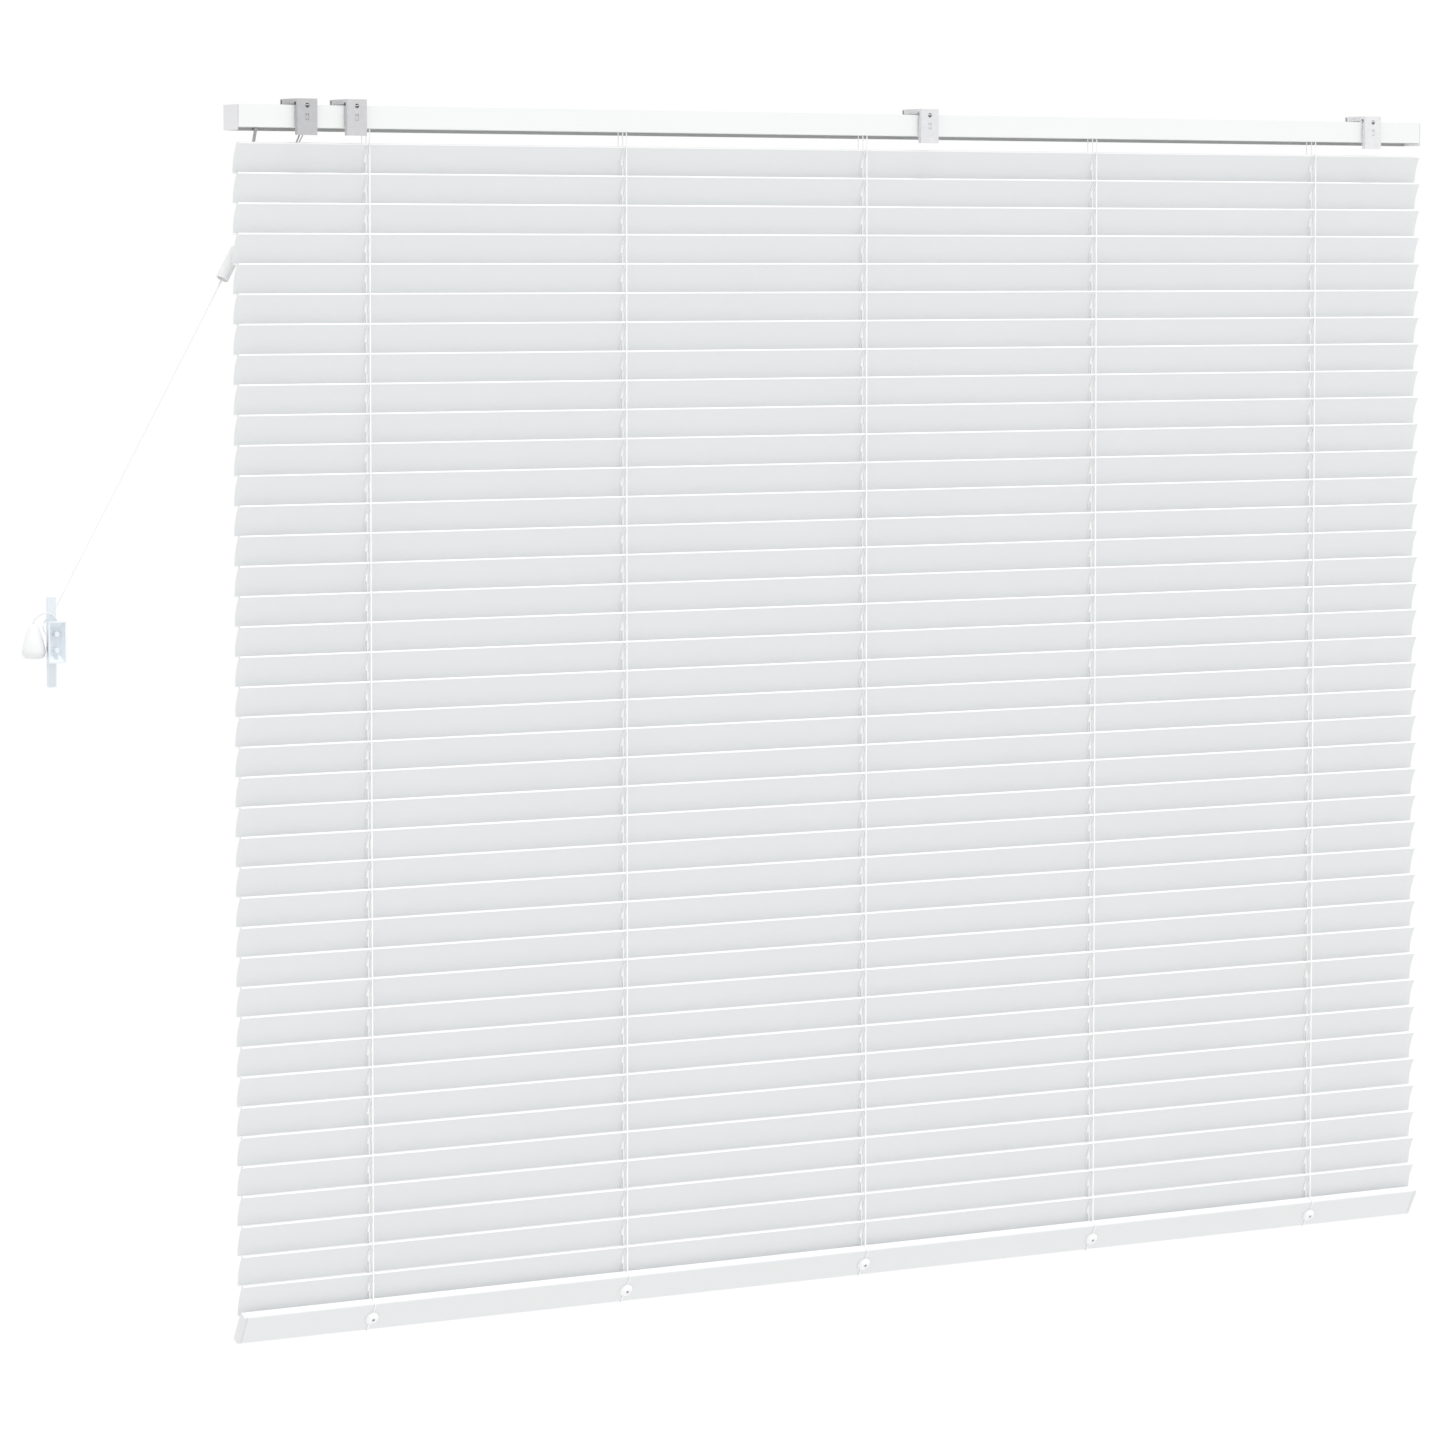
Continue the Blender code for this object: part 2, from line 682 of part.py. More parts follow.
# Bottom rail and its end caps
section = [(y, RAIL_Z + up) for y, up in turn_outline(rail_outline(), RAIL_TILT)]
rail_end = RAIL_HALF_LENGTH - RAIL_CAP - GAP
rail = add_mesh(
    "bottom_rail",
    prism(section, -rail_end, rail_end),
    "white_enamel",
    origin=(0, 0, RAIL_Z),
)
smooth(rail)
for name, way in (("rail_cap_left", 1), ("rail_cap_right", -1)):
    ends = sorted((way * (rail_end + GAP), way * RAIL_HALF_LENGTH))
    cap = add_mesh(name, prism(section, *ends), "white_plastic", origin=(0, 0, RAIL_Z))
    smooth(cap)

# Middle ladder: its wall-side and room-side strands
swing = Vector((0, STRAND_SWING * math.cos(TILT), STRAND_SWING * math.sin(TILT)))
rod_axis = Vector((LADDER_MIDDLE, 0, ROD_Z))
for name, way, top_z, low_z in (
    ("ladder_strand_wall", 1, STRAND_WALL_TOP_Z, RAIL_Z + 0.0165),
    ("ladder_strand_room", -1, STRAND_ROOM_TOP_Z, RAIL_Z - 0.0004),
):
    strand = turned(
        ((STRAND_RADIUS, 0), (STRAND_RADIUS, top_z - low_z)),
        8,
        (LADDER_MIDDLE, way * STRAND_Y, top_z),
        (0, 0, -1),
    )
    smooth(add_mesh(name, strand, "white_cord", origin=rod_axis + way * swing))

# The origin is on the wall face of bracket 3
hold = Vector((BRACKET_X[2], BRACKET_WALL_Y, MOUNT_Z))
for made in [*BLIND.objects, *CUTTERS.objects]:
    made.location -= hold
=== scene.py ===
"""Looks of a lowered and closed venetian blind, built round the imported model.

+Z is up, -Y faces the room, +Y faces the wall, +X is the end with the controls.
"""

import math

import bmesh
import bpy
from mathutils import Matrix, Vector


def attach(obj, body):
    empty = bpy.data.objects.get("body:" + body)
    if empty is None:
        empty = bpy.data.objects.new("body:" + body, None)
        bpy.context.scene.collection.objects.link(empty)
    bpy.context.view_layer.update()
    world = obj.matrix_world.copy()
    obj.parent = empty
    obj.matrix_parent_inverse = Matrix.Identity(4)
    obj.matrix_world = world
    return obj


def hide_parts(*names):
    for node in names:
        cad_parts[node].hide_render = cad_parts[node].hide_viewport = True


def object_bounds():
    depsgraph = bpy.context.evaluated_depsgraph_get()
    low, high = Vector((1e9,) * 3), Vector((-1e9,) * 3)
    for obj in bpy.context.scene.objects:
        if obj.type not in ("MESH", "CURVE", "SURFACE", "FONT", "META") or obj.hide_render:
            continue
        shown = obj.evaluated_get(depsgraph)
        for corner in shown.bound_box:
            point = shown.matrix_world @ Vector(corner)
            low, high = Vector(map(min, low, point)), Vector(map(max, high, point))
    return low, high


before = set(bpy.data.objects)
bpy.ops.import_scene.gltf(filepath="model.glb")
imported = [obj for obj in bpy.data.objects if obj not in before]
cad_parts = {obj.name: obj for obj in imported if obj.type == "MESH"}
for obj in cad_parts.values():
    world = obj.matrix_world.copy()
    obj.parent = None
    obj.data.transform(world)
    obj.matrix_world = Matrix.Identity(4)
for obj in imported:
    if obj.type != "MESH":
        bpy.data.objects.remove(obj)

CAD_LOW, CAD_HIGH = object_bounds()

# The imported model's origin, as seen from the middle of the headrail's top
HOLD = Vector((-0.0745, 0.0215, -0.024))

SLAT_COUNT = 39
PITCH = 0.0315
SLAT_LENGTH = 1.575
SLAT_WIDTH = 0.035
SLAT_RISE = 0.0025
SLAT_SHEET = 0.0004
BEAD_RADIUS = 0.0009
SLAT_CORNER = 0.0022
FIRST_SLAT_Z = -0.0553
TILT = math.radians(73)
LADDER_X = (0.631, 0.314, 0.001, -0.314, -0.630)
ROUT_HALF_LENGTH = 0.0046
ROUT_HALF_WIDTH = 0.00105

HEADRAIL_FLOOR_Z = -0.0235
ROD_Z = -0.0108
STRAND_Y = 0.0079
STRAND_RADIUS = 0.00072
STRAND_SWING_DROP = 0.03115
RAIL_Z = -1.281
RAIL_TILT = math.radians(62)
RAIL_WIDTH = 0.035
RAIL_THICKNESS = 0.0105

LOCK_X = 0.7
CORD_RADIUS = 0.0008
CONDENSER_RADIUS = 0.0067
CONDENSER_LENGTH = 0.038
CONDENSER_END = Vector((0.7886, -0.0262, -0.1815))
CORD_AT_CLEAT = Vector((0.9985, 0.0022, -0.519))
CLEAT_X = 1.004
CLEAT_Z = -0.551
CLEAT_NECK = (0.0085, 0.022)
TASSEL_TOP = Vector((1.0238, 0.0065, -0.5325))
TASSEL_RADIUS = 0.0122
TASSEL_HEIGHT = 0.0355


def at(x, y, z):
    """A point laid out from the headrail's top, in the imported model's frame."""
    return Vector((x, y, z)) - HOLD


# ---------------------------------------------------------------- camera
CAMERA_PLACE = (3.65, 5.425, -0.1635)
CAMERA_TURN = 147.44
CAMERA_DROP = 3.09
CAMERA_SHIFT_X = 0.0
CAMERA_SHIFT_Y = -0.0993
CAMERA_LENS = 146.35

camera_data = bpy.data.cameras.new("camera")
camera_data.sensor_width = 36
camera_data.lens = CAMERA_LENS
camera_data.shift_x = CAMERA_SHIFT_X
camera_data.shift_y = CAMERA_SHIFT_Y
camera_data.clip_start = 0.1
camera_data.clip_end = 60
camera = bpy.data.objects.new("camera", camera_data)
bpy.context.scene.collection.objects.link(camera)
turn = math.radians(CAMERA_TURN)
drop = math.radians(CAMERA_DROP)
looking = Vector(
    (-math.sin(turn) * math.cos(drop), math.cos(turn) * math.cos(drop), -math.sin(drop))
)
camera.location = at(*CAMERA_PLACE)
camera.rotation_mode = "QUATERNION"
camera.rotation_quaternion = looking.to_track_quat("-Z", "Y")
bpy.context.scene.camera = camera


# ------------------------------------------------------------- materials
def finish_material(
    name,
    colour,
    roughness,
    metallic=0.0,
    variation=0.02,
    variation_scale=6.0,
    grain_scale=900.0,
    grain_depth=0.04,
    grain_stretch=(1, 1, 1),
    coat=0.0,
    transmission=0.0,
    translucent=0.0,
):
    """A surface with slow colour drift, fine grain and uneven gloss."""
    made = bpy.data.materials.new(name)
    made.use_nodes = True
    nodes, links = made.node_tree.nodes, made.node_tree.links
    shader = nodes["Principled BSDF"]
    shader.inputs["Metallic"].default_value = metallic
    shader.inputs["Coat Weight"].default_value = coat
    shader.inputs["Coat Roughness"].default_value = 0.12
    shader.inputs["Transmission Weight"].default_value = transmission
    place = nodes.new("ShaderNodeTexCoord")

    drift = nodes.new("ShaderNodeTexNoise")
    drift.inputs["Scale"].default_value = variation_scale
    drift.inputs["Detail"].default_value = 4
    links.new(place.outputs["Object"], drift.inputs["Vector"])
    tint = nodes.new("ShaderNodeMapRange")
    tint.inputs["From Min"].default_value = 0.3
    tint.inputs["From Max"].default_value = 0.7
    tint.inputs["To Min"].default_value = 1 - variation
    tint.inputs["To Max"].default_value = 1 + variation
    links.new(drift.outputs["Fac"], tint.inputs["Value"])
    mixed = nodes.new("ShaderNodeVectorMath")
    mixed.operation = "SCALE"
    mixed.inputs[0].default_value = colour
    links.new(tint.outputs["Result"], mixed.inputs["Scale"])
    links.new(mixed.outputs["Vector"], shader.inputs["Base Color"])

    stretch = nodes.new("ShaderNodeMapping")
    stretch.inputs["Scale"].default_value = grain_stretch
    links.new(place.outputs["Object"], stretch.inputs["Vector"])
    grain = nodes.new("ShaderNodeTexNoise")
    grain.inputs["Scale"].default_value = grain_scale
    grain.inputs["Detail"].default_value = 3
    links.new(stretch.outputs["Vector"], grain.inputs["Vector"])
    gloss = nodes.new("ShaderNodeMapRange")
    gloss.inputs["To Min"].default_value = max(0.02, roughness - 0.06)
    gloss.inputs["To Max"].default_value = roughness + 0.06
    links.new(grain.outputs["Fac"], gloss.inputs["Value"])
    links.new(gloss.outputs["Result"], shader.inputs["Roughness"])
    bump = nodes.new("ShaderNodeBump")
    bump.inputs["Strength"].default_value = grain_depth
    bump.inputs["Distance"].default_value = 0.0002
    links.new(grain.outputs["Fac"], bump.inputs["Height"])
    links.new(bump.outputs["Normal"], shader.inputs["Normal"])
    if translucent:
        shader.inputs["Subsurface Weight"].default_value = translucent
        shader.inputs["Subsurface Radius"].default_value = (1.0, 1.0, 1.0)
        shader.inputs["Subsurface Scale"].default_value = 0.002
    return made


def cord_material(name, colour, period):
    """Braided cord: two crossing sets of ridges with a fine fibre grain."""
    made = finish_material(
        name, colour, 0.75, variation=0.03, variation_scale=60, grain_depth=0.2
    )
    nodes, links = made.node_tree.nodes, made.node_tree.links
    shader = nodes["Principled BSDF"]
    shader.inputs["Sheen Weight"].default_value = 0.2
    place = nodes.new("ShaderNodeTexCoord")
    heights = []
    for lean in (0.9, -0.9):
        turned = nodes.new("ShaderNodeMapping")
        turned.inputs["Rotation"].default_value = (lean, 0.4 * lean, 0)
        links.new(place.outputs["Object"], turned.inputs["Vector"])
        ridge = nodes.new("ShaderNodeTexWave")
        ridge.bands_direction = "Z"
        ridge.inputs["Scale"].default_value = 0.314 / period
        ridge.inputs["Distortion"].default_value = 0.6
        links.new(turned.outputs["Vector"], ridge.inputs["Vector"])
        heights.append(ridge.outputs["Fac"])
    top = nodes.new("ShaderNodeMath")
    top.operation = "MAXIMUM"
    links.new(heights[0], top.inputs[0])
    links.new(heights[1], top.inputs[1])
    braid = nodes.new("ShaderNodeBump")
    braid.inputs["Strength"].default_value = 0.35
    braid.inputs["Distance"].default_value = 0.0001
    links.new(top.outputs["Value"], braid.inputs["Height"])
    grain = next(n for n in nodes if n.type == "BUMP" and n != braid)
    links.new(grain.outputs["Normal"], braid.inputs["Normal"])
    links.new(braid.outputs["Normal"], shader.inputs["Normal"])
    return made


SLAT = finish_material(
    "slat_enamel", (0.79, 0.805, 0.81), 0.42, variation=0.006, grain_depth=0.03, coat=0.05
)
HEADRAIL = finish_material(
    "headrail_enamel", (0.83, 0.845, 0.84), 0.3, variation=0.006, grain_depth=0.03, coat=0.1
)
RAIL = finish_material(
    "rail_enamel", (0.79, 0.805, 0.81), 0.38, variation=0.006, grain_depth=0.03, coat=0.1
)
CAP = finish_material("cap_plastic", (0.76, 0.76, 0.775), 0.45, grain_depth=0.08)
PLASTIC = finish_material(
    "white_plastic", (0.79, 0.795, 0.795), 0.4, grain_depth=0.06, translucent=0.15
)
CLEAT = finish_material(
    "cleat_plastic", (0.74, 0.79, 0.83), 0.35, grain_depth=0.06, translucent=0.25
)
PLUG = finish_material("plug_plastic", (0.92, 0.92, 0.92), 0.35, grain_depth=0.05)
MECHANISM = finish_material("mechanism_plastic", (0.66, 0.66, 0.65), 0.5)
# One zinc finish per bracket, each a lighter or darker copy: the tones are painted reflection,
# standing in for how much light each bracket's zinc reflects at its viewing angle.
ZINC_WITH_PAINTED_REFLECTION = [
    finish_material(
        f"zinc_plate_painted_reflection_{number}",
        (painted_reflection_tone, painted_reflection_tone, painted_reflection_tone * 1.02),
        0.44,
        metallic=0.4,
        variation=0.04,
        variation_scale=160,
        grain_scale=500,
        grain_depth=0.1,
        grain_stretch=(1, 1, 0.08),
    )
    for number, painted_reflection_tone in enumerate((0.52, 0.6, 0.74, 0.78), 1)
]
ROD_STEEL = finish_material(
    "rod_steel",
    (0.5, 0.5, 0.51),
    0.35,
    metallic=1.0,
    variation=0.05,
    variation_scale=90,
    grain_stretch=(0.05, 1, 1),
)
CLEAR = finish_material(
    "clear_acrylic", (0.88, 0.92, 0.94), 0.1, variation=0.01, grain_depth=0.02,
    transmission=0.75,
)
SHAFT = finish_material("shaft_plastic", (0.42, 0.42, 0.43), 0.4, grain_depth=0.08)
CORD = cord_material("braided_cord", (0.97, 0.97, 0.965), 0.0011)
# The thin lift cords are light cords coloured mid grey: painted shade for their shaded look
# against the white surroundings.
SHADED_THIN_CORD = cord_material("thin_braided_cord_painted_shade", (0.4, 0.4, 0.4), 0.0008)
PULL_CORD = cord_material("pull_braided_cord", (0.78, 0.785, 0.79), 0.0011)
# The slats' rolled edges are coloured lighter than the slat face: a painted highlight along each
# edge.
BEAD = finish_material(
    "slat_rolled_edge_painted_highlight", (0.98, 0.985, 0.985), 0.35, variation=0.004, grain_depth=0.02, coat=0.2
)


def paint_shade_on_inner_lip(made):
    """Paints shade onto the headrail's hanging lip: its wall-facing inner side is tinted grey as
    painted shade.
    """
    nodes, links = made.node_tree.nodes, made.node_tree.links
    shader = nodes["Principled BSDF"]
    painted = shader.inputs["Base Color"].links[0].from_socket
    place = nodes.new("ShaderNodeNewGeometry")
    spot = nodes.new("ShaderNodeSeparateXYZ")
    links.new(place.outputs["Position"], spot.inputs["Vector"])
    facing = nodes.new("ShaderNodeSeparateXYZ")
    links.new(place.outputs["True Normal"], facing.inputs["Vector"])
    tests = []
    for socket, kind, limit in (
        (spot.outputs["Z"], "LESS_THAN", LIP_TOP_Z - HOLD.z),
        (facing.outputs["Y"], "GREATER_THAN", 0.3),
    ):
        test = nodes.new("ShaderNodeMath")
        test.operation = kind
        test.inputs[1].default_value = limit
        links.new(socket, test.inputs[0])
        tests.append(test)
    both = nodes.new("ShaderNodeMath")
    both.operation = "MULTIPLY"
    links.new(tests[0].outputs["Value"], both.inputs[0])
    links.new(tests[1].outputs["Value"], both.inputs[1])
    inner_lip_shade_mix = nodes.new("ShaderNodeMix")
    inner_lip_shade_mix.data_type = "RGBA"
    colours = [socket for socket in inner_lip_shade_mix.inputs if socket.type == "RGBA"]
    # Grey of the painted shade on the lip's inner side
    colours[1].default_value = (0.36, 0.36, 0.36, 1)
    links.new(both.outputs["Value"], inner_lip_shade_mix.inputs["Factor"])
    links.new(painted, colours[0])
    mixed = next(socket for socket in inner_lip_shade_mix.outputs if socket.type == "RGBA")
    links.new(mixed, shader.inputs["Base Color"])


# Below this height, on its wall-facing side, the headrail's hanging lip gets painted shade
LIP_TOP_Z = -0.0236
paint_shade_on_inner_lip(HEADRAIL)
DARK = finish_material("hole_shadow", (0.12, 0.12, 0.13), 0.7)


# ------------------------------------------------------------ mesh helpers
def stored(name, shape, material, smooth_angle=40):
    """Stores a bmesh as a shaded object with one material."""
    bmesh.ops.recalc_face_normals(shape, faces=shape.faces)
    limit = math.radians(smooth_angle)
    for face in shape.faces:
        face.smooth = True
    for edge in shape.edges:
        edge.smooth = len(edge.link_faces) == 2 and edge.calc_face_angle(0) < limit
    mesh = bpy.data.meshes.new(name)
    shape.to_mesh(mesh)
    shape.free()
    mesh.materials.append(material)
    made = bpy.data.objects.new(name, mesh)
    bpy.context.scene.collection.objects.link(made)
    return made


def tube_into(shape, points, radius, sides=10):
    """Adds a closed round tube along points to a bmesh."""
    rings = []
    across = None
    for i, point in enumerate(points):
        ahead = points[min(i + 1, len(points) - 1)] - points[max(i - 1, 0)]
        ahead.normalize()
        if across is None:
            guide = Vector((1, 0, 0)) if abs(ahead.x) < 0.9 else Vector((0, 1, 0))
            across = ahead.cross(guide).normalized()
        across = (across - ahead * across.dot(ahead)).normalized()
        other = ahead.cross(across)
        ring = []
        for k in range(sides):
            angle = 2 * math.pi * k / sides
            spoke = across * math.cos(angle) + other * math.sin(angle)
            ring.append(shape.verts.new(point + spoke * radius))
        rings.append(ring)
    for first, second in zip(rings, rings[1:]):
        for k in range(sides):
            n = (k + 1) % sides
            shape.faces.new((first[k], first[n], second[n], second[k]))
    shape.faces.new(rings[0][::-1])
    shape.faces.new(rings[-1])


def tube(name, points, radius, material, sides=10):
    shape = bmesh.new()
    tube_into(shape, points, radius, sides)
    return stored(name, shape, material, 60)


def lathe(name, outline, start, along, material, sides=48, closed=False):
    """A turned piece from (radius, distance) points; closed joins the last to the first."""
    shape = bmesh.new()
    spin = Vector((0, 0, 1)).rotation_difference(Vector(along).normalized())
    rings = []
    for radius, distance in outline:
        ring = []
        for k in range(sides):
            angle = 2 * math.pi * k / sides
            spot = Vector((radius * math.cos(angle), radius * math.sin(angle), distance))
            ring.append(shape.verts.new(Vector(start) + spin @ spot))
        rings.append(ring)
    pairs = list(zip(rings, rings[1:]))
    if closed:
        pairs.append((rings[-1], rings[0]))
    for first, second in pairs:
        for k in range(sides):
            n = (k + 1) % sides
            shape.faces.new((first[k], first[n], second[n], second[k]))
    if not closed:
        shape.faces.new(rings[0][::-1])
        shape.faces.new(rings[-1])
    return stored(name, shape, material, 40)


def curve_through(points, spacing):
    """Points at an even spacing on a smooth curve through the given ones."""
    ends = [2 * points[0] - points[1], *points, 2 * points[-1] - points[-2]]
    fine = []
    for a, b, c, d in zip(ends, ends[1:], ends[2:], ends[3:]):
        for k in range(24):
            t = k / 24
            fine.append(
                0.5
                * (
                    2 * b
                    + (c - a) * t
                    + (2 * a - 5 * b + 4 * c - d) * t**2
                    + (3 * b - a - 3 * c + d) * t**3
                )
            )
    fine.append(points[-1])
    kept = [fine[0]]
    for point in fine[1:]:
        if (point - kept[-1]).length >= spacing:
            kept.append(point)
    kept[-1] = fine[-1]
    return kept


def cord_curve(name, points, radius, material):
    """A cord as one open curve."""
    data = bpy.data.curves.new(name, "CURVE")
    data.dimensions = "3D"
    data.bevel_depth = radius
    data.bevel_resolution = 3
    data.use_fill_caps = True
    line = data.splines.new("POLY")
    line.points.add(len(points) - 1)
    for spot, point in zip(line.points, points):
        spot.co = (*point, 1)
    data.materials.append(material)
    made = bpy.data.objects.new(name, data)
    bpy.context.scene.collection.objects.link(made)
    return made


# ------------------------------------------------------- pull cord and tassel
pull_way = (CORD_AT_CLEAT - CONDENSER_END).normalized()
condenser_top = CONDENSER_END - pull_way * CONDENSER_LENGTH

condenser = lathe(
    "condenser_shell",
    (
        (0.0014, 0.0),
        (CONDENSER_RADIUS - 0.0022, 0.0),
        (CONDENSER_RADIUS - 0.0011, 0.0003),
        (CONDENSER_RADIUS - 0.0004, 0.001),
        (CONDENSER_RADIUS, 0.0022),
        (CONDENSER_RADIUS, CONDENSER_LENGTH - 0.0005),
        (CONDENSER_RADIUS - 0.0004, CONDENSER_LENGTH),
        (CONDENSER_RADIUS - 0.0011, CONDENSER_LENGTH),
        (CONDENSER_RADIUS - 0.0014, CONDENSER_LENGTH - 0.0004),
        (CONDENSER_RADIUS - 0.0014, 0.004),
        (0.0014, 0.004),
    ),
    condenser_top - HOLD,
    pull_way,
    PLASTIC,
    closed=True,
)
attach(condenser, "frame")
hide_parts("condenser")

tassel = lathe(
    "tassel_bell",
    [
        (TASSEL_RADIUS * share, TASSEL_HEIGHT * down)
        for share, down in (
            (0.14, 0.10),
            (0.14, 0.0),
            (0.26, 0.0),
            (0.36, 0.012),
            (0.43, 0.04),
            (0.50, 0.12),
            (0.61, 0.24),
            (0.73, 0.37),
            (0.84, 0.5),
            (0.93, 0.63),
            (0.985, 0.74),
            (1.0, 0.81),
            (0.975, 0.88),
            (0.9, 0.94),
            (0.76, 0.98),
            (0.55, 1.0),
            (0.2, 1.0),
        )
    ],
    TASSEL_TOP - HOLD,
    (0, 0, -1),
    PLASTIC,
)
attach(tassel, "frame")
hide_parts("tassel")

straight = (CORD_AT_CLEAT - CONDENSER_END).length
below = [condenser_top + pull_way * 0.0055]
below += [condenser_top + pull_way * CONDENSER_LENGTH * 0.6, CONDENSER_END]
below += [CONDENSER_END + pull_way * straight * part / 8 for part in range(1, 8)]
side = CLEAT_NECK[0] / 2 + 0.0021
rise = CLEAT_NECK[1] / 2 + 0.0028
near_y = 0.0104
far_y = 0.0127
cleat_route = [
    CORD_AT_CLEAT,
    Vector((CLEAT_X + 0.0050, 0.0020, CLEAT_Z + 0.0205)),
    Vector((CLEAT_X + 0.0084, 0.0056, CLEAT_Z + 0.0135)),
    Vector((CLEAT_X + side, near_y, CLEAT_Z + 0.005)),
    Vector((CLEAT_X + side, near_y, CLEAT_Z - 0.0098)),
    Vector((CLEAT_X, near_y, CLEAT_Z - rise)),
    Vector((CLEAT_X - side, near_y + 0.0006, CLEAT_Z - 0.0098)),
    Vector((CLEAT_X - side, far_y, CLEAT_Z + 0.0085)),
    Vector((CLEAT_X - side + 0.001, far_y - 0.0008, CLEAT_Z + 0.0185)),
    Vector((CLEAT_X - 0.0005, far_y - 0.0012, CLEAT_Z + 0.0265)),
    Vector((CLEAT_X + 0.0095, 0.0103, CLEAT_Z + 0.0298)),
    Vector((CLEAT_X + 0.0166, 0.0078, CLEAT_Z + 0.0255)),
    TASSEL_TOP + Vector((0, 0, 0.0035)),
    TASSEL_TOP,
    TASSEL_TOP - Vector((0, 0, 0.003)),
]
pull_points = below + curve_through([below[-1], *cleat_route], 0.0035)[1:]
pull_points = [p - HOLD for p in pull_points]
pull_cord = cord_curve("pull_cord_line", pull_points, CORD_RADIUS, PULL_CORD)
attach(pull_cord, "frame")
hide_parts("pull_cord")

# Three thin lift cords from the cord lock to the top of the condenser, coloured grey as painted
# shade
THIN_RADIUS = 0.00055
for index, (shift_x, shift_y) in enumerate(((-0.0012, 0.0), (0.0012, 0.0004), (0.0, -0.0011))):
    spread = Vector((shift_x, shift_y, 0))
    route = [
        Vector((LOCK_X, -0.0088, -0.019)) + spread,
        Vector((LOCK_X + 0.0008, -0.0112, -0.0262)) + spread * 2.2,
        Vector((LOCK_X + 0.0045, -0.016, -0.039)) + spread * 1.6,
        Vector((LOCK_X + 0.0135, -0.0205, -0.057)) + spread * 1.2,
        Vector((LOCK_X + 0.04, -0.024, -0.1025)) + spread,
        Vector((LOCK_X + 0.0565, -0.0265, -0.1292)) + spread * 0.6,
        condenser_top - pull_way * 0.002 + spread * 0.35,
        condenser_top + pull_way * 0.0045 + spread * 0.35,
    ]
    line = [p - HOLD for p in curve_through(route, 0.004)]
    lift = cord_curve(f"lift_cord_out_{index + 1}", line, THIN_RADIUS, SHADED_THIN_CORD)
    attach(lift, "frame")


# ------------------------------------------------------------------ slats
def slat_z(number):
    return FIRST_SLAT_Z - PITCH * (number - 1)


REACH = SLAT_WIDTH / 2 - BEAD_RADIUS
CROWN_RADIUS = (REACH**2 + SLAT_RISE**2) / (2 * SLAT_RISE)


def crown(across):
    """Height of the level slat's middle surface at a distance from its centre line."""
    return math.sqrt(CROWN_RADIUS**2 - across**2) - CROWN_RADIUS + SLAT_RISE / 2


def slat_rows():
    """(across, height, hole edge) round the slat's section, closed."""
    inner = REACH - 0.85 * BEAD_RADIUS
    between = [inner * k / 3 + ROUT_HALF_LENGTH * (1 - k / 3) for k in range(1, 4)]
    steps = sorted(
        [-v for v in between] + [-ROUT_HALF_LENGTH, 0.0, ROUT_HALF_LENGTH] + between
    )
    half = SLAT_SHEET / 2
    bead_z = crown(REACH)
    top = [(v, crown(v) + half) for v in steps]
    low = [(v, crown(v) - half) for v in reversed(steps)]
    wall = [
        (REACH + BEAD_RADIUS * math.cos(a), bead_z + BEAD_RADIUS * math.sin(a))
        for a in (2.4, 1.7, 0.95, 0.2, -0.55, -1.3, -2.05, -2.75)
    ]
    room = [(-v, h) for v, h in wall][::-1]
    return top, wall, low, room


def slat_columns():
    """Distances along the slat, with a flag on those inside or beside a rout hole."""
    columns = []
    for x in sorted(LADDER_X):
        for share in (-1, -0.7, 0, 0.7, 1):
            columns.append((x + share * ROUT_HALF_WIDTH, share))
    half = SLAT_LENGTH / 2
    extra = [-half, -half + 0.4 * SLAT_CORNER, -half + SLAT_CORNER]
    extra += [-v for v in extra]
    xs = sorted(LADDER_X)
    extra += [(a + b) / 2 for a, b in zip(xs, xs[1:])]
    columns += [(x, None) for x in extra]
    return sorted(columns, key=lambda c: c[0])


